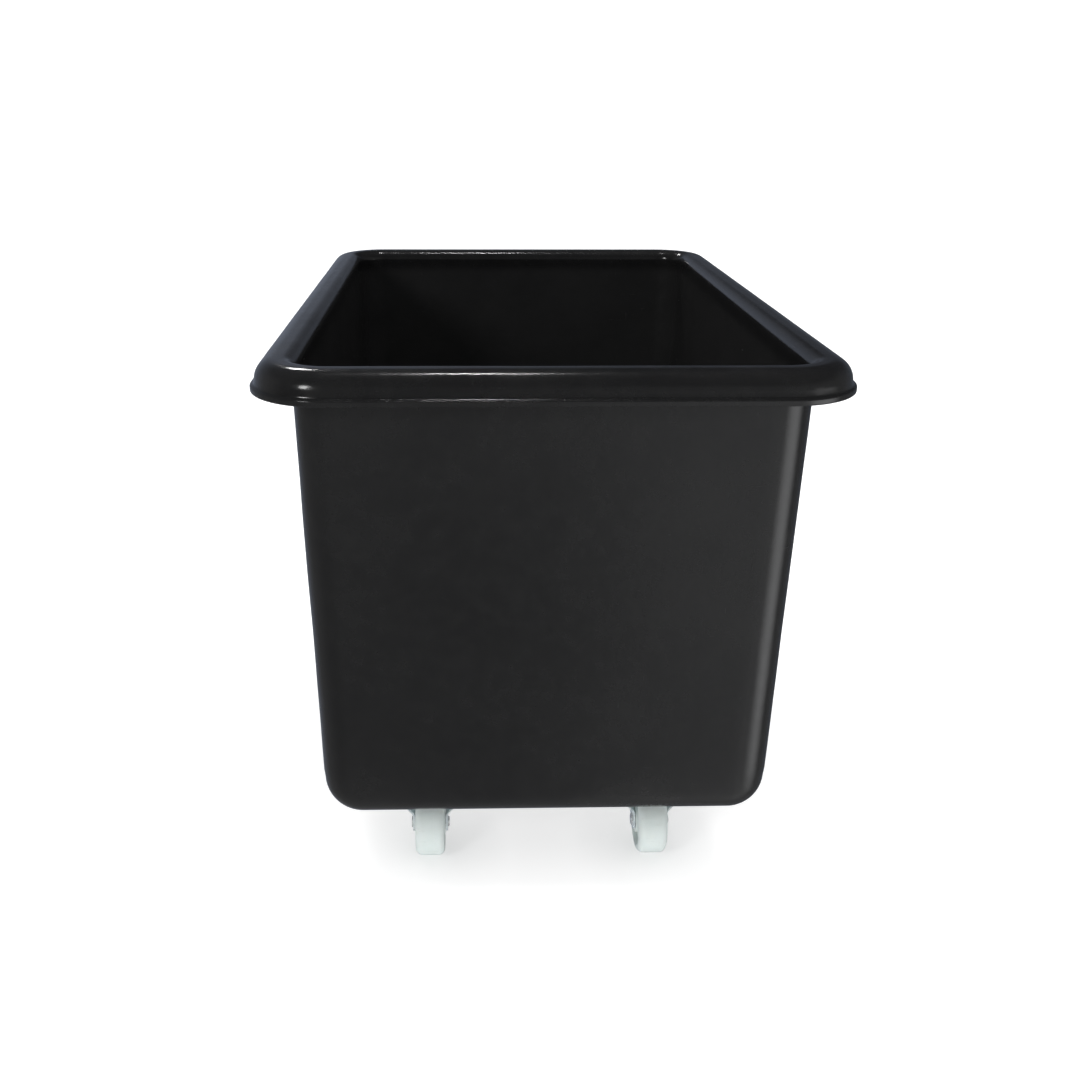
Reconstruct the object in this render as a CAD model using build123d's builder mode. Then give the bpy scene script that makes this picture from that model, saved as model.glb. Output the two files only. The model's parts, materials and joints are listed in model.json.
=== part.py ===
"""Rolling plastic tub: a rectangular moulded tub with a rolled rim on four swivel castors with nylon wheels.

Frame: millimetres, +Z up, origin on the floor under the centre of the tub. +Y runs along the tub's length and +X
across it. The castors trail towards -Y.
"""
import math
import os

from build123d import *

# ---------------------------------------------------------------- driving dimensions
WIDTH = 600.0  # over the lip, along X
LENGTH = 900.0  # over the lip, along Y
HEIGHT = 632.0  # floor to the rim's crest
CASTOR_H = 107.0  # floor to the underside of the tub

WALL = 5.0  # tub wall
FLOOR = 6.0  # tub floor
TAPER_DEG = 1.05  # lean of each wall
OVERHANG = 41.0  # wall's outer face to the lip's edge
CORNER_TOP = 40.0  # vertical corner radius under the rim
CORNER_BASE = 44.0  # vertical corner radius at the base
BASE_ROUND = 42.0  # radius between walls and base, outside
LIP_Z = 600.3  # lip's lower face
JOIN_Z = 596.0  # where the leaning wall turns upright into the rim

WHEEL_D = 80.0
WHEEL_W = 35.0
HUB_HALF = 18.0
TRAIL = 36.0  # swivel axis to axle
SWIVEL_X = 134.0
SWIVEL_Y = 262.0

PLATE_X, PLATE_Y, PLATE_T, PLATE_R = 85.0, 105.0, 3.0, 9.0
BOLT_X, BOLT_Y = 60.0, 80.0  # hole spacing
PLATE_HOLE_R = 4.5
TUB_HOLE_R = 4.2
BOLT_R = 4.0

FORK_T = 2.5
FORK_HALF = 18.6  # inside of a leg at the axle
AXLE_Z = WHEEL_D / 2
PIN_R = 5.0
UPPER_BALL_R, UPPER_BALL_RING, UPPER_BALL_Z, UPPER_BALLS = 3.0, 25.0, 95.0, 18
LOWER_BALL_R, LOWER_BALL_RING, LOWER_BALL_Z, LOWER_BALLS = 2.0, 13.0, 85.9, 14
PLAY = 0.05  # running clearance on a radius

WEB_Z0, WEB_Z1 = 86.9, 89.4  # fork's web
HEAD_Z1 = 94.4  # top of the fork's head
BOWL_Z0, BOWL_Z1 = 95.6, 100.6  # underside and inside of the plate's pressed bowl
PLATE_Z1 = CASTOR_H
PLATE_Z0 = CASTOR_H - PLATE_T

HALF_W = WIDTH / 2 - OVERHANG
HALF_L = LENGTH / 2 - OVERHANG
STRAIGHT_X = HALF_W - CORNER_TOP
STRAIGHT_Y = HALF_L - CORNER_TOP
LEAN = (JOIN_Z - CASTOR_H) * math.tan(math.radians(TAPER_DEG))
FLOOR_Z = CASTOR_H + FLOOR
LEAN_IN = (JOIN_Z - FLOOR_Z) * math.tan(math.radians(TAPER_DEG))

CASTORS = {
    "front_left": (-SWIVEL_X, -SWIVEL_Y),
    "front_right": (SWIVEL_X, -SWIVEL_Y),
    "rear_left": (-SWIVEL_X, SWIVEL_Y),
    "rear_right": (SWIVEL_X, SWIVEL_Y),
}
BOLT_XY = [
    (px + sx * BOLT_X / 2, py + sy * BOLT_Y / 2)
    for px, py in CASTORS.values()
    for sx in (-1, 1)
    for sy in (-1, 1)
]

# Upright plane through the axle: its x runs along the axle and its y runs up.
AXLE_PLANE = Plane(origin=(0, -TRAIL, AXLE_Z), x_dir=(1, 0, 0), z_dir=(0, -1, 0))
AXLE_AXIS = Axis((0, -TRAIL, AXLE_Z), (1, 0, 0))
# Upright plane through the swivel axis, for bodies of revolution about it.
SWIVEL_PLANE = Plane(origin=(0, 0, 0), x_dir=(1, 0, 0), z_dir=(0, -1, 0))


# ---------------------------------------------------------------- tub
with BuildPart() as cavity:
    with BuildSketch(Plane.XY.offset(FLOOR_Z)):
        RectangleRounded(
            2 * (HALF_W - WALL - LEAN_IN), 2 * (HALF_L - WALL - LEAN_IN), CORNER_BASE - WALL
        )
    with BuildSketch(Plane.XY.offset(JOIN_Z)):
        RectangleRounded(2 * (HALF_W - WALL), 2 * (HALF_L - WALL), CORNER_TOP - WALL)
    loft(ruled=True)
    fillet(edges().group_by(Axis.Z)[0], BASE_ROUND - WALL)

with BuildPart() as tub:
    # outside of the walls and base, hollowed by the cavity
    with BuildSketch(Plane.XY.offset(CASTOR_H)):
        RectangleRounded(2 * (HALF_W - LEAN), 2 * (HALF_L - LEAN), CORNER_BASE)
    with BuildSketch(Plane.XY.offset(JOIN_Z)):
        RectangleRounded(2 * HALF_W, 2 * HALF_L, CORNER_TOP)
    loft(ruled=True)
    fillet(edges().group_by(Axis.Z)[0], BASE_ROUND)
    add(cavity.part, mode=Mode.SUBTRACT)

    # rolled rim: one section swept round the top of the wall
    with BuildLine(Plane.XY.offset(JOIN_Z)) as rim_path:
        Line((HALF_W, 0), (HALF_W, STRAIGHT_Y))
        RadiusArc((HALF_W, STRAIGHT_Y), (STRAIGHT_X, HALF_L), -CORNER_TOP)
        Line((STRAIGHT_X, HALF_L), (-STRAIGHT_X, HALF_L))
        RadiusArc((-STRAIGHT_X, HALF_L), (-HALF_W, STRAIGHT_Y), -CORNER_TOP)
        Line((-HALF_W, STRAIGHT_Y), (-HALF_W, -STRAIGHT_Y))
        RadiusArc((-HALF_W, -STRAIGHT_Y), (-STRAIGHT_X, -HALF_L), -CORNER_TOP)
        Line((-STRAIGHT_X, -HALF_L), (STRAIGHT_X, -HALF_L))
        RadiusArc((STRAIGHT_X, -HALF_L), (HALF_W, -STRAIGHT_Y), -CORNER_TOP)
        Line((HALF_W, -STRAIGHT_Y), (HALF_W, 0))
    with BuildSketch(Plane(origin=(HALF_W, 0, 0), x_dir=(1, 0, 0), z_dir=(0, -1, 0))) as rim_section:
        with BuildLine():
            Line((-WALL, JOIN_Z), (-WALL, HEIGHT - 14))
            RadiusArc((-WALL, HEIGHT - 14), (9, HEIGHT), 14)
            Line((9, HEIGHT), (15.5, HEIGHT))
            RadiusArc((15.5, HEIGHT), (36.5, HEIGHT - 21), 21)
            Line((36.5, HEIGHT - 21), (37.2, LIP_Z + 7.6))
            Line((37.2, LIP_Z + 7.6), (39.4, LIP_Z + 6.6))
            RadiusArc((39.4, LIP_Z + 6.6), (OVERHANG, LIP_Z + 5.0), 1.6)
            Line((OVERHANG, LIP_Z + 5.0), (OVERHANG, LIP_Z + 1.6))
            RadiusArc((OVERHANG, LIP_Z + 1.6), (OVERHANG - 1.6, LIP_Z), 1.6)
            Line((OVERHANG - 1.6, LIP_Z), (31.5, LIP_Z))
            Line((31.5, LIP_Z), (31.5, HEIGHT - 21))
            RadiusArc((31.5, HEIGHT - 21), (15.5, HEIGHT - WALL), -16)
            Line((15.5, HEIGHT - WALL), (9, HEIGHT - WALL))
            RadiusArc((9, HEIGHT - WALL), (0, HEIGHT - 14), -9)
            Line((0, HEIGHT - 14), (0, JOIN_Z))
            Line((0, JOIN_Z), (-WALL, JOIN_Z))
        make_face()
    sweep(path=rim_path.wires()[0])

    # bolt holes through the floor
    with BuildSketch(Plane.XY.offset(FLOOR_Z + 1)):
        with Locations(*BOLT_XY):
            Circle(TUB_HOLE_R)
    extrude(amount=-(FLOOR + 2), mode=Mode.SUBTRACT)

# ---------------------------------------------------------------- tub-to-castor fasteners
WASHER_T = 1.6
HEAD_Z = FLOOR_Z + WASHER_T
with BuildPart() as castor_bolts:
    with BuildSketch(Plane.XY.offset(HEAD_Z)):
        with Locations(*BOLT_XY):
            Circle(BOLT_R)
    extrude(amount=-(HEAD_Z - PLATE_Z0 + 9.0))
    with BuildSketch(Plane.XY.offset(HEAD_Z)):
        with Locations(*BOLT_XY):
            Circle(8.5)
    extrude(amount=4.4)
    fillet(edges().group_by(Axis.Z)[-1], 3.2)
    chamfer(edges().group_by(Axis.Z)[0], 0.8)

with BuildPart() as castor_bolt_washers:
    with BuildSketch(Plane.XY.offset(FLOOR_Z)):
        with Locations(*BOLT_XY):
            Circle(12.0)
            Circle(BOLT_R + 0.2, mode=Mode.SUBTRACT)
    extrude(amount=WASHER_T)

with BuildPart() as castor_nuts:
    with BuildSketch(Plane.XY.offset(PLATE_Z0)):
        with Locations(*BOLT_XY):
            RegularPolygon(6.5, 6, major_radius=False)
            Circle(BOLT_R, mode=Mode.SUBTRACT)
    extrude(amount=-5.5)
    with BuildSketch(Plane.XY.offset(PLATE_Z0 - 5.5)):
        with Locations(*BOLT_XY):
            Circle(5.9)
            Circle(BOLT_R, mode=Mode.SUBTRACT)
    extrude(amount=-2.0)

# ---------------------------------------------------------------- one castor, at its swivel axis
with BuildPart() as top_plate:
    with BuildSketch(Plane.XY.offset(PLATE_Z0)):
        RectangleRounded(PLATE_X, PLATE_Y, PLATE_R)
        with GridLocations(BOLT_X, BOLT_Y, 2, 2):
            Circle(PLATE_HOLE_R, mode=Mode.SUBTRACT)
    extrude(amount=PLATE_T)
    # pressed bowl that carries the upper race
    with BuildSketch(SWIVEL_PLANE):
        with BuildLine():
            Polyline(
                (0, PLATE_Z0 + 1),
                (34.5, PLATE_Z0 + 1),
                (34.5, PLATE_Z0),
                (31.0, 101.6),
                (31.0, BOWL_Z0 + 0.8),
                (30.2, BOWL_Z0),
                (0, BOWL_Z0),
                close=True,
            )
        make_face()
    revolve(axis=Axis.Z)
    with BuildSketch(SWIVEL_PLANE):
        with BuildLine():
            Polyline(
                (0, PLATE_Z1 + 1),
                (31.5, PLATE_Z1 + 1),
                (31.5, PLATE_Z1),
                (28.0, 104.6),
                (28.0, BOWL_Z1 + 1.4),
                (26.6, BOWL_Z1),
                (0, BOWL_Z1),
                close=True,
            )
        make_face()
    revolve(axis=Axis.Z, mode=Mode.SUBTRACT)
    with BuildSketch(SWIVEL_PLANE):
        with Locations((UPPER_BALL_RING, UPPER_BALL_Z)):
            Circle(UPPER_BALL_R + PLAY)
    revolve(axis=Axis.Z, mode=Mode.SUBTRACT)
    with BuildSketch(Plane.XY.offset(BOWL_Z0 - 1)):
        Circle(PIN_R)
    extrude(amount=BOWL_Z1 - BOWL_Z0 + 2, mode=Mode.SUBTRACT)
    fillet(
        edges().filter_by(Axis.Z, reverse=True).filter_by_position(
            Axis.Z, PLATE_Z0 - 0.01, PLATE_Z0 + 0.01
        ).sort_by(SortBy.LENGTH)[-8:],
        0.4,
    )

with BuildPart() as dust_ring:
    with BuildSketch(SWIVEL_PLANE):
        with BuildLine():
            Polyline(
                (31.0, 101.0),
                (31.0, 93.2),
                (31.9, 92.6),
                (32.3, 93.0),
                (32.3, 101.0),
                close=True,
            )
        make_face()
    revolve(axis=Axis.Z)

with BuildPart() as king_pin:
    with BuildSketch(SWIVEL_PLANE):
        with BuildLine():
            Polyline(
                (0, BOWL_Z1 + 4.4),
                (6.4, BOWL_Z1 + 4.0),
                (9.0, BOWL_Z1 + 2.0),
                (9.0, BOWL_Z1),
                (PIN_R, BOWL_Z1),
                (PIN_R, 81.4),
                (9.0, 81.4),
                (9.0, 80.9),
                (7.2, 80.35),
                (0, 80.3),
                close=True,
            )
        make_face()
    revolve(axis=Axis.Z)

with BuildPart() as lower_race:
    with BuildSketch(SWIVEL_PLANE):
        with BuildLine():
            Polyline(
                (PIN_R, 81.4),
                (16.5, 81.4),
                (18.0, 83.0),
                (18.0, 85.2),
                (PIN_R, 85.2),
                close=True,
            )
        make_face()
        with Locations((LOWER_BALL_RING, LOWER_BALL_Z)):
            Circle(LOWER_BALL_R + PLAY, mode=Mode.SUBTRACT)
    revolve(axis=Axis.Z)

# Fork: a bent strip, legs close to the wheel at the axle and flaring out to the head.
FLARE_Z0, FLARE_Z1 = 53.5, 65.0
FLARE_X = 29.5
LEG_FOOT = 11.5
# tangent from the web's rear end to the round leg end
REAR_Y, REAR_Z = 31.0, 84.0
FRONT_Y, FRONT_Z = -31.0, 88.0


def tangent_point(px, pz, side):
    """Where a line from (px, pz) touches the round end of a leg."""
    dx, dz = px + TRAIL, pz - AXLE_Z
    dist = math.hypot(dx, dz)
    base = math.atan2(dz, dx)
    half = math.acos(LEG_FOOT / dist)
    a = base + side * half
    return (-TRAIL + LEG_FOOT * math.cos(a), AXLE_Z + LEG_FOOT * math.sin(a))


T_REAR = tangent_point(REAR_Y, REAR_Z, -1)
T_FRONT = tangent_point(FRONT_Y, FRONT_Z, +1)

with BuildPart() as fork:
    # front view of the bent strip
    with BuildSketch(Plane(origin=(0, 60, 0), x_dir=(1, 0, 0), z_dir=(0, -1, 0))):
        with BuildLine():
            Polyline(
                (-FORK_HALF - FORK_T, 20),
                (-FORK_HALF - FORK_T, FLARE_Z0),
                (-FLARE_X - FORK_T, FLARE_Z1),
                (-FLARE_X - FORK_T, WEB_Z1),
                (FLARE_X + FORK_T, WEB_Z1),
                (FLARE_X + FORK_T, FLARE_Z1),
                (FORK_HALF + FORK_T, FLARE_Z0),
                (FORK_HALF + FORK_T, 20),
                (FORK_HALF, 20),
                (FORK_HALF, FLARE_Z0 + 0.4),
                (FLARE_X, FLARE_Z1 + 0.4),
                (FLARE_X, WEB_Z0),
                (-FLARE_X, WEB_Z0),
                (-FLARE_X, FLARE_Z1 + 0.4),
                (-FORK_HALF, FLARE_Z0 + 0.4),
                (-FORK_HALF, 20),
                close=True,
            )
        make_face()
        fillet([v for v in vertices() if abs(v.Y - WEB_Z1) < 0.01], 6.0)
        fillet([v for v in vertices() if abs(v.Y - WEB_Z0) < 0.01], 3.5)
        for at_x, at_z, radius in (
            (FORK_HALF + FORK_T, FLARE_Z0, 3.0),
            (FORK_HALF, FLARE_Z0 + 0.4, 5.5),
            (FLARE_X + FORK_T, FLARE_Z1, 5.5),
            (FLARE_X, FLARE_Z1 + 0.4, 3.0),
        ):
            fillet(
                [
                    v
                    for v in vertices()
                    if abs(abs(v.X) - at_x) < 0.01 and abs(v.Y - at_z) < 0.01
                ],
                radius,
            )
    extrude(amount=120)
    # side view: narrow at the axle, wide at the head
    with BuildSketch(Plane.YZ.offset(-60)):
        with BuildLine():
            Polyline(
                T_FRONT,
                (FRONT_Y, FRONT_Z),
                (FRONT_Y, WEB_Z1),
                (REAR_Y, WEB_Z1),
                (REAR_Y, REAR_Z),
                T_REAR,
                (-TRAIL, AXLE_Z),
                close=True,
            )
        make_face()
        with Locations((-TRAIL, AXLE_Z)):
            Circle(LEG_FOOT)
    extrude(amount=120, mode=Mode.INTERSECT)
    # round head with the two ball grooves
    with BuildSketch(Plane.XY.offset(WEB_Z0)):
        Circle(30.6)
    extrude(amount=HEAD_Z1 - WEB_Z0)
    with BuildSketch(SWIVEL_PLANE):
        with Locations((UPPER_BALL_RING, UPPER_BALL_Z)):
            Circle(UPPER_BALL_R + PLAY)
        with Locations((LOWER_BALL_RING, LOWER_BALL_Z)):
            Circle(LOWER_BALL_R + PLAY)
    revolve(axis=Axis.Z, mode=Mode.SUBTRACT)
    with BuildSketch(Plane.XY.offset(WEB_Z0 - 1)):
        Circle(PIN_R + 0.1)
    extrude(amount=HEAD_Z1 - WEB_Z0 + 2, mode=Mode.SUBTRACT)
    # axle holes
    with BuildSketch(Plane.YZ.offset(-60)):
        with Locations((-TRAIL, AXLE_Z)):
            Circle(BOLT_R + 0.1)
    extrude(amount=120, mode=Mode.SUBTRACT)

with BuildPart() as wheel:
    with BuildSketch(AXLE_PLANE):
        with BuildLine():
            Polyline(
                (-HUB_HALF, 10.0),
                (-HUB_HALF, 15.0),
                (-13.0, 16.2),
                (-12.0, 29.5),
                (-WHEEL_W / 2 + 0.6, 30.6),
                (-WHEEL_W / 2, 31.6),
                (-WHEEL_W / 2, WHEEL_D / 2),
                (WHEEL_W / 2, WHEEL_D / 2),
                (WHEEL_W / 2, 31.6),
                (WHEEL_W / 2 - 0.6, 30.6),
                (12.0, 29.5),
                (13.0, 16.2),
                (HUB_HALF, 15.0),
                (HUB_HALF, 10.0),
                close=True,
            )
        make_face()
        fillet([v for v in vertices() if abs(abs(v.X) - 12.0) < 0.01], 1.6)
        fillet([v for v in vertices() if abs(v.Y - WHEEL_D / 2) < 0.01], 7.8)
    revolve(axis=AXLE_AXIS)

ROLLER_R, ROLLER_RING, ROLLERS, ROLLER_L = 1.95, 8.0, 10, 30.0
with BuildPart() as bearing_rollers:
    with BuildSketch(Plane(origin=(-ROLLER_L / 2, -TRAIL, AXLE_Z), z_dir=(1, 0, 0))):
        with PolarLocations(ROLLER_RING, ROLLERS):
            Circle(ROLLER_R)
    extrude(amount=ROLLER_L)

with BuildPart() as bearing_cage:
    with BuildSketch(Plane(origin=(-17.5, -TRAIL, AXLE_Z), z_dir=(1, 0, 0))):
        Circle(8.8)
        Circle(7.2, mode=Mode.SUBTRACT)
    extrude(amount=35)
    with BuildSketch(
        Plane(origin=(-ROLLER_L / 2 - 0.2, -TRAIL, AXLE_Z), z_dir=(1, 0, 0))
    ):
        with PolarLocations(ROLLER_RING, ROLLERS):
            Circle(ROLLER_R + 0.1)
    extrude(amount=ROLLER_L + 0.4, mode=Mode.SUBTRACT)

with BuildPart() as axle_sleeve:
    with BuildSketch(Plane(origin=(-FORK_HALF, -TRAIL, AXLE_Z), z_dir=(1, 0, 0))):
        Circle(6.0)
        Circle(BOLT_R + 0.2, mode=Mode.SUBTRACT)
    extrude(amount=2 * FORK_HALF)

with BuildPart() as thrust_washers:
    with BuildSketch(Plane(origin=(HUB_HALF + PLAY, -TRAIL, AXLE_Z), z_dir=(1, 0, 0))):
        Circle(9.5)
        Circle(6.0, mode=Mode.SUBTRACT)
    extrude(amount=FORK_HALF - HUB_HALF - PLAY)
    mirror(about=Plane.YZ)

LEG_OUT = FORK_HALF + FORK_T
RIVET_R, RIVET_T = 7.0, 1.9
with BuildPart() as axle_rivet:
    with BuildSketch(Plane(origin=(-LEG_OUT, -TRAIL, AXLE_Z), z_dir=(1, 0, 0))):
        Circle(BOLT_R)
    extrude(amount=2 * LEG_OUT)
    with BuildSketch(Plane(origin=(-LEG_OUT - RIVET_T, -TRAIL, AXLE_Z), z_dir=(1, 0, 0))):
        Circle(RIVET_R)
    extrude(amount=RIVET_T)
    with BuildSketch(Plane(origin=(LEG_OUT, -TRAIL, AXLE_Z), z_dir=(1, 0, 0))):
        Circle(RIVET_R - 0.8)
    extrude(amount=RIVET_T)
    ends = edges().filter_by(GeomType.CIRCLE).sort_by(Axis.X)
    fillet([ends[0], ends[-1]], 1.2)

# ---------------------------------------------------------------- balls of all four castors
with BuildPart() as upper_race_balls:
    for px, py in CASTORS.values():
        with Locations((px, py, UPPER_BALL_Z)):
            with PolarLocations(UPPER_BALL_RING, UPPER_BALLS):
                Sphere(UPPER_BALL_R)

with BuildPart() as lower_race_balls:
    for px, py in CASTORS.values():
        with Locations((px, py, LOWER_BALL_Z)):
            with PolarLocations(LOWER_BALL_RING, LOWER_BALLS):
                Sphere(LOWER_BALL_R)

# ---------------------------------------------------------------- write the pieces
os.makedirs("parts", exist_ok=True)

SHARED = {
    "tub": tub,
    "castor_bolts": castor_bolts,
    "castor_bolt_washers": castor_bolt_washers,
    "castor_nuts": castor_nuts,
    "upper_race_balls": upper_race_balls,
    "lower_race_balls": lower_race_balls,
}
for name, piece in SHARED.items():
    piece.part.label = name
    export_step(piece.part, f"parts/{name}.step")

PER_CASTOR = {
    "top_plate": top_plate,
    "dust_ring": dust_ring,
    "king_pin": king_pin,
    "lower_race": lower_race,
    "fork": fork,
    "wheel": wheel,
    "bearing_rollers": bearing_rollers,
    "bearing_cage": bearing_cage,
    "axle_sleeve": axle_sleeve,
    "thrust_washers": thrust_washers,
    "axle_rivet": axle_rivet,
}
for place, (px, py) in CASTORS.items():
    for kind, piece in PER_CASTOR.items():
        with BuildPart() as placed:
            with Locations((px, py, 0)):
                add(piece.part)
        placed.part.label = f"{place}_{kind}"
        export_step(placed.part, f"parts/{place}_{kind}.step")
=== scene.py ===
import json
import math

import bpy
import numpy as np
from mathutils import Matrix, Vector, noise


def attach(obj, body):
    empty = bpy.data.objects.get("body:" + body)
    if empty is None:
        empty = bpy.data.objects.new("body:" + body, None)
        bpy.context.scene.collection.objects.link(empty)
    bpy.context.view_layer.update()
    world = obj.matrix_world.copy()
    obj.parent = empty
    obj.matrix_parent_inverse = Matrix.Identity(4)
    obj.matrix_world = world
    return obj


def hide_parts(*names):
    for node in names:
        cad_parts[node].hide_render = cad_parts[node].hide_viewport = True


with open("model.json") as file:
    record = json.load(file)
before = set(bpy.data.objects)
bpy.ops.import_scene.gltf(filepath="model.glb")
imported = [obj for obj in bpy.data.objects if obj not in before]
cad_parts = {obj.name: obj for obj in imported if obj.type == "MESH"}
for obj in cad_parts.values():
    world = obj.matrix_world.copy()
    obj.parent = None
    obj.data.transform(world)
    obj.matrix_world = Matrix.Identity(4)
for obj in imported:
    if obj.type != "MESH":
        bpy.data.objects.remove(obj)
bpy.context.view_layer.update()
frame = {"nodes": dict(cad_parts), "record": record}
scene = bpy.context.scene
MM = 0.001

# ---------------------------------------------------------------- sizes of the tub, in millimetres
WIDTH, LENGTH, HEIGHT = 600.0, 900.0, 632.0
CASTOR_H = 107.0
WALL, FLOOR = 5.0, 6.0
OVERHANG = 41.0
LIP_Z, JOIN_Z = 600.3, 596.0
CORNER_TOP, CORNER_BASE, BASE_ROUND = 40.0, 44.0, 42.0
TAPER = math.tan(math.radians(1.05))
HALF_W, HALF_L = WIDTH / 2 - OVERHANG, LENGTH / 2 - OVERHANG
FLOOR_Z = CASTOR_H + FLOOR


# ---------------------------------------------------------------- node helpers
class Graph:
    """A short way to write a material's node tree."""

    def __init__(self, name):
        self.mat = bpy.data.materials.new(name)
        self.mat.use_nodes = True
        self.tree = self.mat.node_tree
        self.tree.nodes.clear()
        self.out = self.tree.nodes.new("ShaderNodeOutputMaterial")
        self.bsdf = self.tree.nodes.new("ShaderNodeBsdfPrincipled")
        self.link(self.bsdf.outputs["BSDF"], self.out.inputs["Surface"])
        source = self.tree.nodes.new("ShaderNodeTexCoord")
        self.coords, self.normal = source.outputs["Object"], source.outputs["Normal"]

    def link(self, a, b):
        self.tree.links.new(a, b)

    def set(self, **values):
        for k, v in values.items():
            self.bsdf.inputs[k.replace("_", " ")].default_value = v

    def node(self, kind, **values):
        n = self.tree.nodes.new(kind)
        for k, v in values.items():
            setattr(n, k, v)
        return n

    def mapping(self, scale=(1, 1, 1), source=None, rotation=(0, 0, 0)):
        n = self.node("ShaderNodeMapping")
        n.inputs["Scale"].default_value = scale
        n.inputs["Rotation"].default_value = rotation
        self.link(source or self.coords, n.inputs["Vector"])
        return n.outputs["Vector"]

    def noise(self, scale, detail=2.0, rough=0.5, vector=None, distortion=0.0):
        n = self.node("ShaderNodeTexNoise")
        n.inputs["Scale"].default_value = scale
        n.inputs["Detail"].default_value = detail
        n.inputs["Roughness"].default_value = rough
        n.inputs["Distortion"].default_value = distortion
        self.link(vector or self.coords, n.inputs["Vector"])
        return n.outputs["Fac"]

    def voronoi(self, scale, feature="F1", vector=None, output="Distance", randomness=1.0):
        n = self.node("ShaderNodeTexVoronoi", feature=feature)
        n.inputs["Scale"].default_value = scale
        n.inputs["Randomness"].default_value = randomness
        self.link(vector or self.coords, n.inputs["Vector"])
        return n.outputs[output]

    def ramp(self, fac, stops, interpolation="LINEAR"):
        n = self.node("ShaderNodeValToRGB")
        n.color_ramp.interpolation = interpolation
        els = n.color_ramp.elements
        while len(els) > 1:
            els.remove(els[-1])
        els[0].position, els[0].color = stops[0][0], _rgba(stops[0][1])
        for pos, col in stops[1:]:
            e = els.new(pos)
            e.color = _rgba(col)
        self.link(fac, n.inputs["Fac"])
        return n.outputs["Color"]

    def range(self, value, lo, hi, to_lo, to_hi, smooth=True):
        n = self.node("ShaderNodeMapRange", interpolation_type="SMOOTHSTEP" if smooth else "LINEAR")
        n.inputs["From Min"].default_value = lo
        n.inputs["From Max"].default_value = hi
        n.inputs["To Min"].default_value = to_lo
        n.inputs["To Max"].default_value = to_hi
        self.link(value, n.inputs["Value"])
        return n.outputs["Result"]

    def math(self, op, a, b=None, c=None, clamp=False):
        n = self.node("ShaderNodeMath", operation=op, use_clamp=clamp)
        for i, v in enumerate((a, b, c)):
            if v is None:
                continue
            if isinstance(v, (int, float)):
                n.inputs[i].default_value = v
            else:
                self.link(v, n.inputs[i])
        return n.outputs["Value"]

    def mix(self, fac, a, b, mode="MIX"):
        n = self.node("ShaderNodeMix", data_type="RGBA", blend_type=mode)
        for socket, v in ((n.inputs[0], fac), (n.inputs[6], a), (n.inputs[7], b)):
            if isinstance(v, (int, float)):
                socket.default_value = v
            elif isinstance(v, (tuple, list)):
                socket.default_value = _rgba(v)
            else:
                self.link(v, socket)
        return n.outputs[2]

    def bump(self, height, strength, distance, normal=None):
        n = self.node("ShaderNodeBump")
        n.inputs["Strength"].default_value = strength
        n.inputs["Distance"].default_value = distance
        self.link(height, n.inputs["Height"])
        if normal is not None:
            self.link(normal, n.inputs["Normal"])
        return n.outputs["Normal"]

    def xyz(self, source=None):
        n = self.node("ShaderNodeSeparateXYZ")
        self.link(source or self.coords, n.inputs["Vector"])
        return n.outputs["X"], n.outputs["Y"], n.outputs["Z"]

    def to(self, name, socket):
        self.link(socket, self.bsdf.inputs[name])


def _rgba(c):
    if isinstance(c, (int, float)):
        c = (c, c, c)
    c = tuple(c)
    return c if len(c) == 4 else (*c, 1.0)


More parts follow.
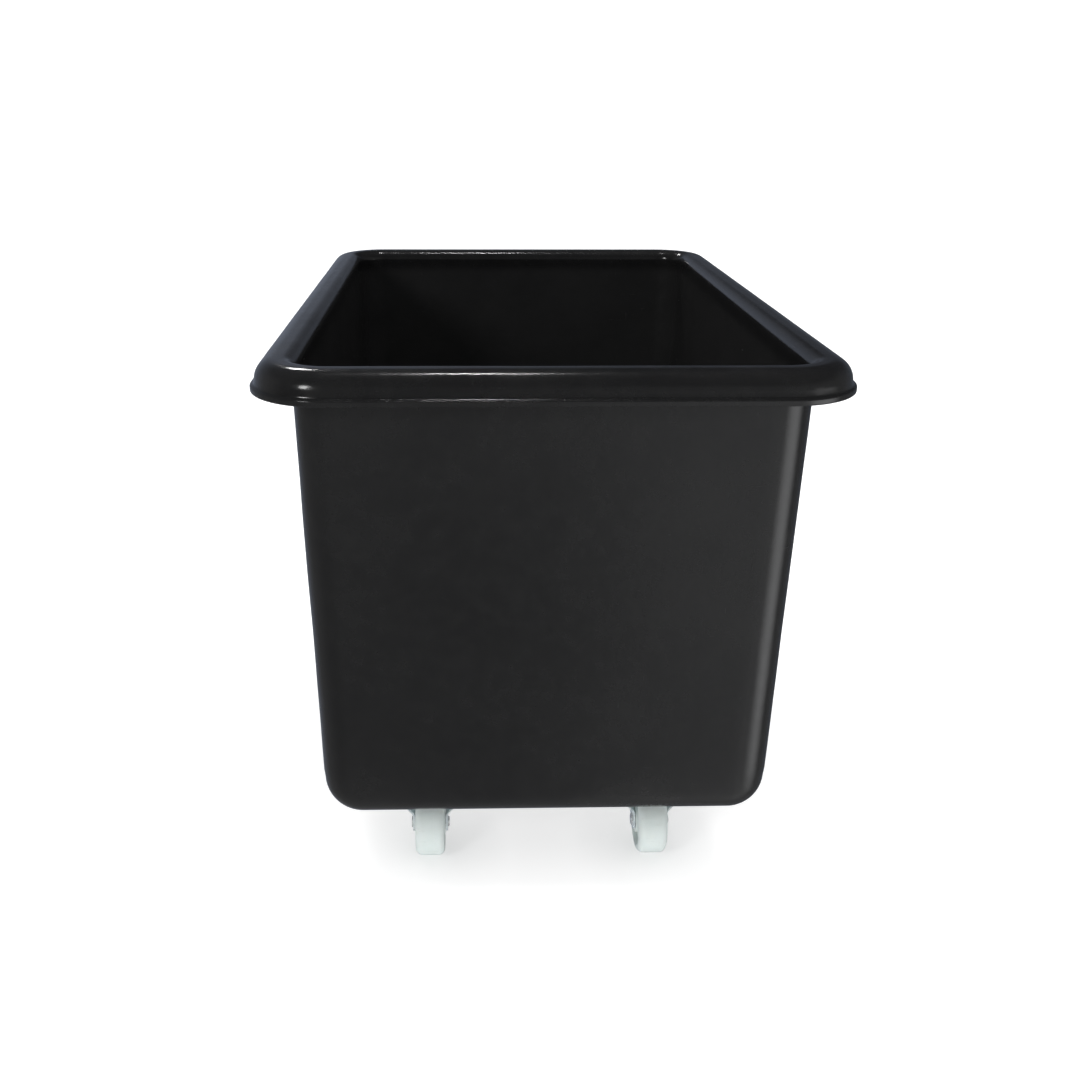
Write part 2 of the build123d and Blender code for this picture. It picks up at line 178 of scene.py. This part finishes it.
# ---------------------------------------------------------------- materials
def black_polyethylene():
    g = Graph("black_polyethylene")
    x, y, z = g.xyz()
    # slow cloudiness of the moulded skin, and finer mottling in it
    cloud = g.noise(5.5, 4.0, 0.55, distortion=0.6)
    mottle = g.noise(60.0, 3.0, 0.6)
    fine = g.noise(900.0, 2.0, 0.5)
    base = g.ramp(cloud, [(0.30, (0.0110, 0.0111, 0.0116)), (0.55, (0.0135, 0.0136, 0.0140)), (0.78, (0.0160, 0.0160, 0.0163))])
    base = g.mix(g.range(mottle, 0.35, 0.75, 0.0, 0.35), base, (0.0180, 0.0180, 0.0182))
    # pale specks of dust and regrind
    speck = g.voronoi(150.0)
    dots = g.range(speck, 0.045, 0.075, 1.0, 0.0)
    sparse = g.range(g.noise(37.0, 1.0, 0.5), 0.60, 0.68, 0.0, 1.0)
    dots = g.math("MULTIPLY", dots, sparse)
    base = g.mix(g.math("MULTIPLY", dots, 0.35), base, (0.10, 0.10, 0.105))
    # rubbed skin along the roll's crest, and dust low on the walls
    edge = g.range(z, 0.6285, 0.632, 0.0, 1.0)
    rub = g.math("MULTIPLY", edge, g.range(g.noise(22.0, 5.0, 0.65), 0.50, 0.72, 0.0, 1.0))
    base = g.mix(g.math("MULTIPLY", rub, 0.30), base, (0.030, 0.030, 0.032))
    low = g.range(z, 0.107, 0.19, 1.0, 0.0)
    dust = g.math("MULTIPLY", low, g.range(g.noise(14.0, 5.0, 0.6), 0.45, 0.75, 0.0, 1.0))
    base = g.mix(g.math("MULTIPLY", dust, 0.22), base, (0.045, 0.044, 0.042))
    # painted light: the inside is paler than the outside, standing in for the light that falls into it, in uneven
    # patches
    turn = g.node("ShaderNodeVectorMath", operation="DOT_PRODUCT")
    flat = g.node("ShaderNodeVectorMath", operation="MULTIPLY")
    g.link(g.coords, flat.inputs[0])
    flat.inputs[1].default_value = (1.0, 1.0, 0.0)
    g.link(flat.outputs["Vector"], turn.inputs[0])
    g.link(g.normal, turn.inputs[1])
    painted_inside_light = g.math("MULTIPLY", g.range(turn.outputs["Value"], -0.03, -0.12, 0.0, 1.0), g.range(z, 0.612, 0.596, 0.0, 1.0))
    inside_light_mottle = g.range(g.noise(11.0, 5.0, 0.6), 0.30, 0.75, 0.62, 1.0)
    base = g.mix(g.math("MULTIPLY", painted_inside_light, inside_light_mottle), base, (0.0275, 0.0275, 0.0278))
    g.to("Base Color", base)
    rough = g.range(cloud, 0.25, 0.8, 0.14, 0.20)
    rough = g.math("ADD", rough, g.range(mottle, 0.3, 0.8, -0.03, 0.05))
    # fine scratches, drawn out along two directions
    s1 = g.noise(1.0, 3.0, 0.6, vector=g.mapping((26.0, 26.0, 700.0), rotation=(0.35, 0.2, 0.0)))
    s2 = g.noise(1.0, 3.0, 0.6, vector=g.mapping((520.0, 430.0, 16.0), rotation=(0.1, -0.3, 0.4)))
    scratch = g.math("MAXIMUM", g.range(s1, 0.70, 0.74, 0.0, 1.0), g.range(s2, 0.72, 0.76, 0.0, 1.0))
    rough = g.math("ADD", rough, g.math("MULTIPLY", scratch, 0.10))
    rough = g.math("ADD", rough, g.math("MULTIPLY", dust, 0.15))
    g.to("Roughness", rough)
    # the skin: long waves, orange peel and a trace of grain
    n = g.bump(g.noise(9.0, 2.0, 0.5), 0.5, 0.0012)
    n = g.bump(g.noise(130.0, 2.0, 0.5), 0.35, 0.00030, n)
    n = g.bump(fine, 0.20, 0.00006, n)
    n = g.bump(scratch, 0.15, 0.00004, n)
    g.to("Normal", n)
    g.set(IOR=1.5, Specular_IOR_Level=0.5)
    return g.mat


def zinc(name, tint=(0.80, 0.85, 0.86), rough=(0.26, 0.42), grain=90.0, metal=0.30):
    g = Graph(name)
    cloud = g.noise(38.0, 4.0, 0.6)
    spangle = g.voronoi(grain, output="Color")
    sep = g.node("ShaderNodeSeparateColor")
    g.link(spangle, sep.inputs["Color"])
    flake = sep.outputs["Red"]
    cool = tuple(c * f for c, f in zip(tint, (0.86, 0.92, 1.0)))
    base = g.ramp(cloud, [(0.3, cool), (0.6, tint), (0.8, tuple(min(1, c * 1.12) for c in tint))])
    base = g.mix(g.math("MULTIPLY", flake, 0.16), base, tuple(c * 0.72 for c in tint))
    stain = g.range(g.noise(75.0, 5.0, 0.7), 0.58, 0.74, 0.0, 1.0)
    base = g.mix(g.math("MULTIPLY", stain, 0.12), base, (0.42, 0.42, 0.38))
    g.to("Base Color", base)
    r = g.range(g.noise(160.0, 3.0, 0.6), 0.3, 0.75, *rough)
    r = g.math("ADD", r, g.math("MULTIPLY", stain, 0.18))
    g.to("Roughness", r)
    streak = g.noise(1.0, 2.0, 0.5, vector=g.mapping((1500.0, 220.0, 220.0)))
    n = g.bump(streak, 0.12, 0.00003)
    n = g.bump(g.noise(420.0, 2.0, 0.5), 0.20, 0.00004, n)
    g.to("Normal", n)
    g.set(Metallic=metal)
    return g.mat


def white_nylon():
    g = Graph("white_nylon")
    cloud = g.noise(28.0, 4.0, 0.55)
    base = g.ramp(cloud, [(0.3, (0.76, 0.84, 0.82)), (0.55, (0.80, 0.87, 0.855)), (0.8, (0.84, 0.90, 0.885))])
    scuff = g.range(g.noise(1.0, 5.0, 0.65, vector=g.mapping((38.0, 230.0, 230.0))), 0.56, 0.74, 0.0, 1.0)
    base = g.mix(g.math("MULTIPLY", scuff, 0.22), base, (0.46, 0.49, 0.46))
    speck = g.range(g.voronoi(420.0), 0.05, 0.10, 1.0, 0.0)
    few = g.range(g.noise(90.0, 1.0, 0.5), 0.58, 0.66, 0.0, 1.0)
    base = g.mix(g.math("MULTIPLY", g.math("MULTIPLY", speck, few), 0.5), base, (0.22, 0.22, 0.20))
    g.to("Base Color", base)
    g.to("Roughness", g.range(g.noise(110.0, 3.0, 0.6), 0.3, 0.75, 0.34, 0.52))
    n = g.bump(g.noise(1.0, 2.0, 0.5, vector=g.mapping((2200.0, 60.0, 60.0))), 0.18, 0.00004)
    n = g.bump(scuff, 0.2, 0.00006, n)
    g.to("Normal", n)
    g.set(IOR=1.53, Subsurface_Weight=0.12, Subsurface_Scale=0.004)
    g.bsdf.inputs["Subsurface Radius"].default_value = (1.0, 0.9, 0.8)
    return g.mat


def cage_plastic():
    g = Graph("bearing_cage_plastic")
    g.to("Base Color", g.ramp(g.noise(120.0, 3.0), [(0.3, 0.012), (0.75, 0.03)]))
    g.to("Roughness", g.range(g.noise(300.0, 2.0), 0.3, 0.7, 0.4, 0.55))
    g.to("Normal", g.bump(g.noise(700.0, 2.0), 0.2, 0.00005))
    return g.mat


M_BLACK = black_polyethylene()
M_PRESS = zinc("zinc_pressing")
M_FAST = zinc("zinc_fastener", tint=(0.76, 0.78, 0.78), rough=(0.20, 0.36), grain=240.0, metal=0.5)
M_BALL = zinc("bearing_steel", tint=(0.58, 0.59, 0.60), rough=(0.14, 0.24), grain=600.0, metal=1.0)
M_NYLON = white_nylon()
M_CAGE = cage_plastic()
BY_SLOT = {
    "black_polyethylene": M_BLACK,
    "zinc_pressing": M_PRESS,
    "zinc_fastener": M_FAST,
    "bearing_steel": M_BALL,
    "white_nylon": M_NYLON,
    "bearing_cage_plastic": M_CAGE,
}
for part in frame["record"]["subparts"]:
    node = frame["nodes"][part["node"]]
    node.data.materials.clear()
    node.data.materials.append(BY_SLOT[part["material_slot"]])


# ---------------------------------------------------------------- the tub's skin
def arc(cx, cz, r, a0, a1, n):
    return [
        (cx + r * math.cos(math.radians(a0 + (a1 - a0) * i / n)), cz + r * math.sin(math.radians(a0 + (a1 - a0) * i / n)))
        for i in range(n + 1)
    ]


def steps(a, b, n):
    return [a + (b - a) * i / n for i in range(n + 1)]


def wall_out(z):
    """Lean of the outer wall face inwards from the rim's upright web, at height z."""
    return -(JOIN_Z - z) * TAPER if z < JOIN_Z else 0.0


def corner_at(z):
    t = min(1.0, max(0.0, (JOIN_Z - z) / (JOIN_Z - CASTOR_H)))
    return CORNER_TOP + (CORNER_BASE - CORNER_TOP) * t


# The section, outside first: (offset from the wall's outer face, height, corner radius).
section = []
foot = wall_out(CASTOR_H)
for k in (0.10, 0.25, 0.45, 0.65, 0.85):  # underside, from the middle out
    section.append(("flat", k, CASTOR_H))
SKIN_BASE_START = len(section)
for ax, az in arc(foot - BASE_ROUND, CASTOR_H + BASE_ROUND, BASE_ROUND, -90, 0, 14):
    off = ax + (wall_out(az) - foot) * (1 - math.cos(math.radians(90))) * 0
    section.append(("wall", off, az))
for z in steps(CASTOR_H + BASE_ROUND, 586.0, 44)[1:]:
    section.append(("wall", wall_out(z), z))
for p in [(0.0, 592.0), (0.0, 597.0), (0.0, 601.0)]:
    section.append(("wall", *p))
section += [("rim", 0.0, 608.0), ("rim", 0.0, 613.0)]  # the web, up into the hollow of the roll
section += [("rim", x, z) for x, z in arc(9.0, HEIGHT - 14, 9.0, 180, 90, 8)]
section += [("rim", 12.2, HEIGHT - WALL)]
section += [("rim", x, z) for x, z in arc(15.5, HEIGHT - 21, 16.0, 90, 0, 12)]
section += [("rim", x, z) for x, z in [(31.5, 607.0), (31.5, 603.2), (31.8, 601.5), (32.6, 600.6), (34.2, LIP_Z), (36.8, LIP_Z), (39.0, LIP_Z)]]
section += [("rim", x, z) for x, z in arc(39.4, LIP_Z + 1.6, 1.6, -75, 0, 5)]
section += [("rim", OVERHANG, LIP_Z + 2.7), ("rim", OVERHANG, LIP_Z + 3.9)]
section += [("rim", x, z) for x, z in arc(39.4, LIP_Z + 5.0, 1.6, 0, 75, 6)]
section += [("rim", x, z) for x, z in [(38.9, LIP_Z + 6.85), (38.2, LIP_Z + 7.15), (37.6, LIP_Z + 7.6), (37.2, LIP_Z + 8.3), (36.95, LIP_Z + 9.3)]]
section += [("rim", x, z) for x, z in arc(15.5, HEIGHT - 21, 21, 5, 90, 22)]
section += [("rim", 12.2, HEIGHT)]
section += [("rim", x, z) for x, z in arc(9.0, HEIGHT - 14, 14, 90, 180, 16)]
section += [("in", -WALL, z) for z in (612.0, 606.0)]
for z in steps(600.0, FLOOR_Z + BASE_ROUND - WALL, 44):
    section.append(("in", wall_out(z) - WALL, z))
r_in = BASE_ROUND - WALL
foot_in = wall_out(FLOOR_Z + r_in) - WALL
for ax, az in arc(foot_in - r_in, FLOOR_Z + r_in, r_in, 0, -90, 14)[1:]:
    section.append(("in", ax, az))
SKIN_FLOOR_END = len(section)
for k in (0.85, 0.65, 0.45, 0.25, 0.10):
    section.append(("floor", k, FLOOR_Z))

NX, NY, NC = 44, 66, 18  # points along a short side, a long side and a corner


def loop(off, z):
    """A rounded rectangle parallel to the wall, as a ring of points of always the same count."""
    a, b = HALF_W + off, HALF_L + off
    r = max(1.5, corner_at(z) + (off - wall_out(z)))
    pts = []
    sides = [
        ((a, -b + r), (a, b - r), NY, (a - r, b - r), 0),
        ((a - r, b), (-a + r, b), NX, (-a + r, b - r), 90),
        ((-a, b - r), (-a, -b + r), NY, (-a + r, -b + r), 180),
        ((-a + r, -b), (a - r, -b), NX, (a - r, -b + r), 270),
    ]
    for (x0, y0), (x1, y1), n, (cx, cy), a0 in sides:
        for i in range(n):
            t = i / n
            pts.append((x0 + (x1 - x0) * t, y0 + (y1 - y0) * t, z))
        for i in range(NC):
            th = math.radians(a0 + 90 * i / NC)
            pts.append((cx + r * math.cos(th), cy + r * math.sin(th), z))
    return pts


def build_tub():
    rings = []
    base_ring = loop(section[SKIN_BASE_START][1], CASTOR_H)
    floor_ring = loop(section[SKIN_FLOOR_END - 1][1], FLOOR_Z)
    for kind, off, z in section:
        if kind == "flat":
            rings.append([(x * off, y * off, z) for x, y, _ in base_ring])
        elif kind == "floor":
            rings.append([(x * off, y * off, z) for x, y, _ in floor_ring])
        else:
            rings.append(loop(off, z))
    n = len(rings[0])
    verts = [p for ring in rings for p in ring]
    faces = []
    for j in range(len(rings) - 1):
        for i in range(n):
            k = (i + 1) % n
            faces.append((j * n + i, j * n + k, (j + 1) * n + k, (j + 1) * n + i))
    # close the middle of the underside and of the floor with a fan round one point
    verts.append((0, 0, CASTOR_H))
    verts.append((0, 0, FLOOR_Z))
    c0, c1 = len(verts) - 2, len(verts) - 1
    last = (len(rings) - 1) * n
    for i in range(n):
        k = (i + 1) % n
        faces.append((c0, k, i))
        faces.append((c1, last + i, last + k))
    co = np.array(verts, float)
    mesh = bpy.data.meshes.new("tub_skin")
    mesh.from_pydata([tuple(v * MM) for v in co], [], faces)
    mesh.update()
    mesh.shade_smooth()
    normals = np.zeros(len(co) * 3, np.float32)
    mesh.vertices.foreach_get("normal", normals)
    normals = normals.reshape(-1, 3).astype(float)
    # A moulded wall is never quite flat. The upright faces wander by half a millimetre, and the rim and base less.
    moved = co.copy()
    for i, (p, nrm) in enumerate(zip(co, normals)):
        z = p[2]
        upright = max(0.0, min(1.0, (z - 150) / 60)) * max(0.0, min(1.0, (598 - z) / 60))
        q = Vector((p[0], p[1], p[2]))
        wave = noise.noise(q / 170.0) * 0.75 + noise.noise(q / 60.0 + Vector((9, 4, 2))) * 0.22
        rimw = noise.noise(q / 90.0 + Vector((3, 8, 1))) * 0.16
        d = wave * upright + rimw * (1 - upright)
        if z <= CASTOR_H + 1 or abs(z - FLOOR_Z) < 0.5:
            d = 0.0
        moved[i] = p + nrm * d
    lim = np.array([WIDTH / 2, LENGTH / 2])
    moved[:, :2] = np.clip(moved[:, :2], -lim, lim)
    moved[:, 2] = np.clip(moved[:, 2], CASTOR_H, HEIGHT)
    mesh.vertices.foreach_set("co", (moved * MM).astype(np.float32).ravel())
    mesh.update()
    obj = bpy.data.objects.new("tub_skin", mesh)
    scene.collection.objects.link(obj)
    mesh.materials.append(M_BLACK)
    return obj


tub_skin = build_tub()
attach(tub_skin, "tub")
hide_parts("tub")

# ---------------------------------------------------------------- floor and backdrop
def sweep_floor():
    """A pale floor that turns up into a backdrop far behind."""
    half, back, front, r, top = 14.0, 9.0, -14.0, 3.0, 9.0
    prof = [(front, 0.0), (-6.0, 0.0), (-3.0, 0.0), (0.0, 0.0), (3.0, 0.0), (back - r, 0.0)]
    prof += [(back - r + r * math.sin(math.radians(t)), r - r * math.cos(math.radians(t))) for t in range(6, 91, 6)]
    prof += [(back, top)]
    verts, faces = [], []
    for y, z in prof:
        verts += [(-half, y, z), (half, y, z)]
    for i in range(len(prof) - 1):
        faces.append((2 * i, 2 * i + 1, 2 * i + 3, 2 * i + 2))
    mesh = bpy.data.meshes.new("studio_floor")
    mesh.from_pydata(verts, [], faces)
    mesh.shade_smooth()
    obj = bpy.data.objects.new("studio_floor", mesh)
    scene.collection.objects.link(obj)
    g = Graph("pale_floor")
    g.to("Base Color", g.ramp(g.noise(0.8, 3.0), [(0.3, (0.50, 0.50, 0.50)), (0.7, (0.52, 0.52, 0.52))]))
    g.to("Roughness", g.range(g.noise(6.0, 3.0), 0.3, 0.7, 0.85, 0.95))
    # painted shadow under the object: the sweep's glow is darkest in a disc under the object and brightens slowly away
    # from it
    away = g.node("ShaderNodeVectorMath", operation="LENGTH")
    g.link(g.coords, away.inputs[0])
    glow_and_painted_shadow = g.math(
        "MULTIPLY",
        g.range(away.outputs["Value"], 0.27, 0.42, 0.72, 0.92),
        g.range(away.outputs["Value"], 0.42, 3.2, 1.0, 1.06),
    )
    # painted contact shadow: close under the wheels the sweep's glow is darkened by occlusion, as it would be if all
    # its light came from round about
    painted_contact_shadow = g.node("ShaderNodeAmbientOcclusion", samples=8)
    painted_contact_shadow.inputs["Distance"].default_value = 0.085
    g.to("Emission Strength", g.math("MULTIPLY", glow_and_painted_shadow, g.range(painted_contact_shadow.outputs["AO"], 0.35, 1.0, 0.62, 1.0, smooth=False)))
    g.set(Specular_IOR_Level=0.0, Emission_Color=(1.0, 1.0, 1.0, 1.0))
    mesh.materials.append(g.mat)
    obj.visible_glossy = False
    return obj


sweep_floor()

# ---------------------------------------------------------------- light
# The room round the object: dim and a little blue behind it, brighter low down on the right.
world = bpy.data.worlds.new("studio")
scene.world = world
world.use_nodes = True
wn = world.node_tree
wn.nodes.clear()


def wnode(kind, **values):
    n = wn.nodes.new(kind)
    for k, v in values.items():
        setattr(n, k, v)
    return n


def wrange(socket, lo, hi, to_lo, to_hi):
    n = wnode("ShaderNodeMapRange", interpolation_type="SMOOTHSTEP")
    for key, v in (("From Min", lo), ("From Max", hi), ("To Min", to_lo), ("To Max", to_hi)):
        n.inputs[key].default_value = v
    wn.links.new(socket, n.inputs["Value"])
    return n.outputs["Result"]


def wmath(op, a, b):
    n = wnode("ShaderNodeMath", operation=op)
    for i, v in enumerate((a, b)):
        if isinstance(v, float):
            n.inputs[i].default_value = v
        else:
            wn.links.new(v, n.inputs[i])
    return n.outputs["Value"]


direction = wnode("ShaderNodeTexCoord").outputs["Generated"]
sep = wnode("ShaderNodeSeparateXYZ")
wn.links.new(direction, sep.inputs["Vector"])
back = wrange(sep.outputs["Y"], 0.1, 0.9, 0.0, 1.0)
front = wrange(sep.outputs["Y"], 0.1, -0.4, 0.0, 1.0)
colour = wnode("ShaderNodeMix", data_type="RGBA")
wn.links.new(back, colour.inputs[0])
colour.inputs[6].default_value = (0.160, 0.161, 0.163, 1.0)
colour.inputs[7].default_value = (0.112, 0.126, 0.158, 1.0)
# behind the object it is brighter on the left and low down
behind = wmath("ADD", wrange(sep.outputs["X"], -0.30, 0.22, 0.65, -0.52), wrange(sep.outputs["Z"], 0.08, 0.34, 0.35, -0.35))
behind = wmath("MULTIPLY", back, behind)
# in front it is brighter towards the right, most of all low down at the far right
ahead = wmath("MULTIPLY", wrange(sep.outputs["X"], 0.0, 0.34, 0.0, 2.4), wrange(sep.outputs["Z"], -0.20, 0.12, 1.0, 0.35))
ahead = wmath("ADD", ahead, wrange(sep.outputs["Z"], -0.46, -0.29, 0.0, 0.40))
ahead = wmath("ADD", ahead, wrange(sep.outputs["Z"], -0.24, 0.0, 0.0, -0.80))
ahead = wmath("ADD", ahead, wrange(sep.outputs["X"], -0.35, -0.75, 0.0, -0.40))
far_right = wmath("MULTIPLY", wrange(sep.outputs["X"], 0.50, 0.80, 0.0, 9.0), wrange(sep.outputs["Z"], 0.12, -0.25, 0.0, 1.0))
far_right = wmath("MULTIPLY", far_right, wrange(sep.outputs["Z"], -0.75, -0.45, 0.15, 1.0))
ahead = wmath("MULTIPLY", front, wmath("ADD", ahead, far_right))
overhead = wrange(sep.outputs["Z"], 0.30, 0.60, 1.0, 0.35)
strength = wmath("MULTIPLY", wmath("ADD", wmath("ADD", ahead, behind), 1.0), overhead)
bg = wnode("ShaderNodeBackground")
wo = wnode("ShaderNodeOutputWorld")
wn.links.new(colour.outputs[2], bg.inputs["Color"])
wn.links.new(strength, bg.inputs["Strength"])
wn.links.new(bg.outputs["Background"], wo.inputs["Surface"])


def area(name, loc, target, size, size_y, radiance, color=(1, 1, 1), mirrored=True, spread=180.0):
    """A rectangular lamp, given by how bright its face is."""
    data = bpy.data.lights.new(name, "AREA")
    data.shape = "RECTANGLE"
    data.size, data.size_y = size, size_y
    data.energy = radiance * math.pi * size * size_y
    data.color = color
    data.spread = math.radians(spread)
    obj = bpy.data.objects.new(name, data)
    obj.location = loc
    d = Vector(target) - Vector(loc)
    obj.rotation_euler = d.to_track_quat("-Z", "Y").to_euler()
    obj.visible_camera = False
    obj.visible_glossy = mirrored
    scene.collection.objects.link(obj)
    return obj


area("ceiling_strip", (-0.06, 0.25, 3.6), (-0.06, 0.0, 0.3), 0.30, 0.07, 150, (1.0, 0.98, 1.0))
area("ceiling_lamp", (-1.18, 2.64, 3.02), (-0.2, -0.4, 0.6), 0.45, 0.20, 70, (1.0, 0.99, 0.98))
area("soft_left", (-1.94, -2.62, 1.79), (-0.24, -0.44, 0.6), 0.66, 0.66, 16.5)
area("soft_right", (2.7, -2.1, 0.9), (0.24, -0.44, 0.5), 0.7, 0.5, 0.4)
area("soft_top", (0.0, 0.0, 4.6), (0.0, 0.0, 0.0), 3.0, 3.0, 4.6, mirrored=False)
area("low_front", (0.0, -2.2, 0.06), (0.0, -0.3, 0.05), 1.8, 0.10, 0.40, mirrored=False, spread=11.0)

# ---------------------------------------------------------------- camera
F_PX, CX_PX, CY_PX = 1160.774, 498.475, 535.357
YAW, PITCH, ROLL = -0.0276, 0.3692, 0.0041
CAM = Vector((-0.0857254, -1.4978847, 0.2767926 + 0.6020))
cp, sp, cy, sy = math.cos(PITCH), math.sin(PITCH), math.cos(YAW), math.sin(YAW)
fwd = Vector((-sy * cp, cy * cp, -sp))
right = Vector((cy, sy, 0))
up = right.cross(fwd)
r2 = right * math.cos(ROLL) + up * math.sin(ROLL)
u2 = -right * math.sin(ROLL) + up * math.cos(ROLL)
cam_data = bpy.data.cameras.new("camera")
cam_data.sensor_width = 36.0
cam_data.sensor_fit = "HORIZONTAL"
cam_data.lens = F_PX / 1080.0 * 36.0
cam_data.shift_x = (540.0 - CX_PX) / 1080.0
cam_data.shift_y = (CY_PX - 540.0) / 1080.0
cam_data.clip_end = 100.0
cam = bpy.data.objects.new("camera", cam_data)
cam.matrix_world = Matrix(
    (
        (r2.x, u2.x, -fwd.x, CAM.x),
        (r2.y, u2.y, -fwd.y, CAM.y),
        (r2.z, u2.z, -fwd.z, CAM.z),
        (0, 0, 0, 1),
    )
)
scene.collection.objects.link(cam)
scene.camera = cam
scene.view_settings.view_transform = "Standard"
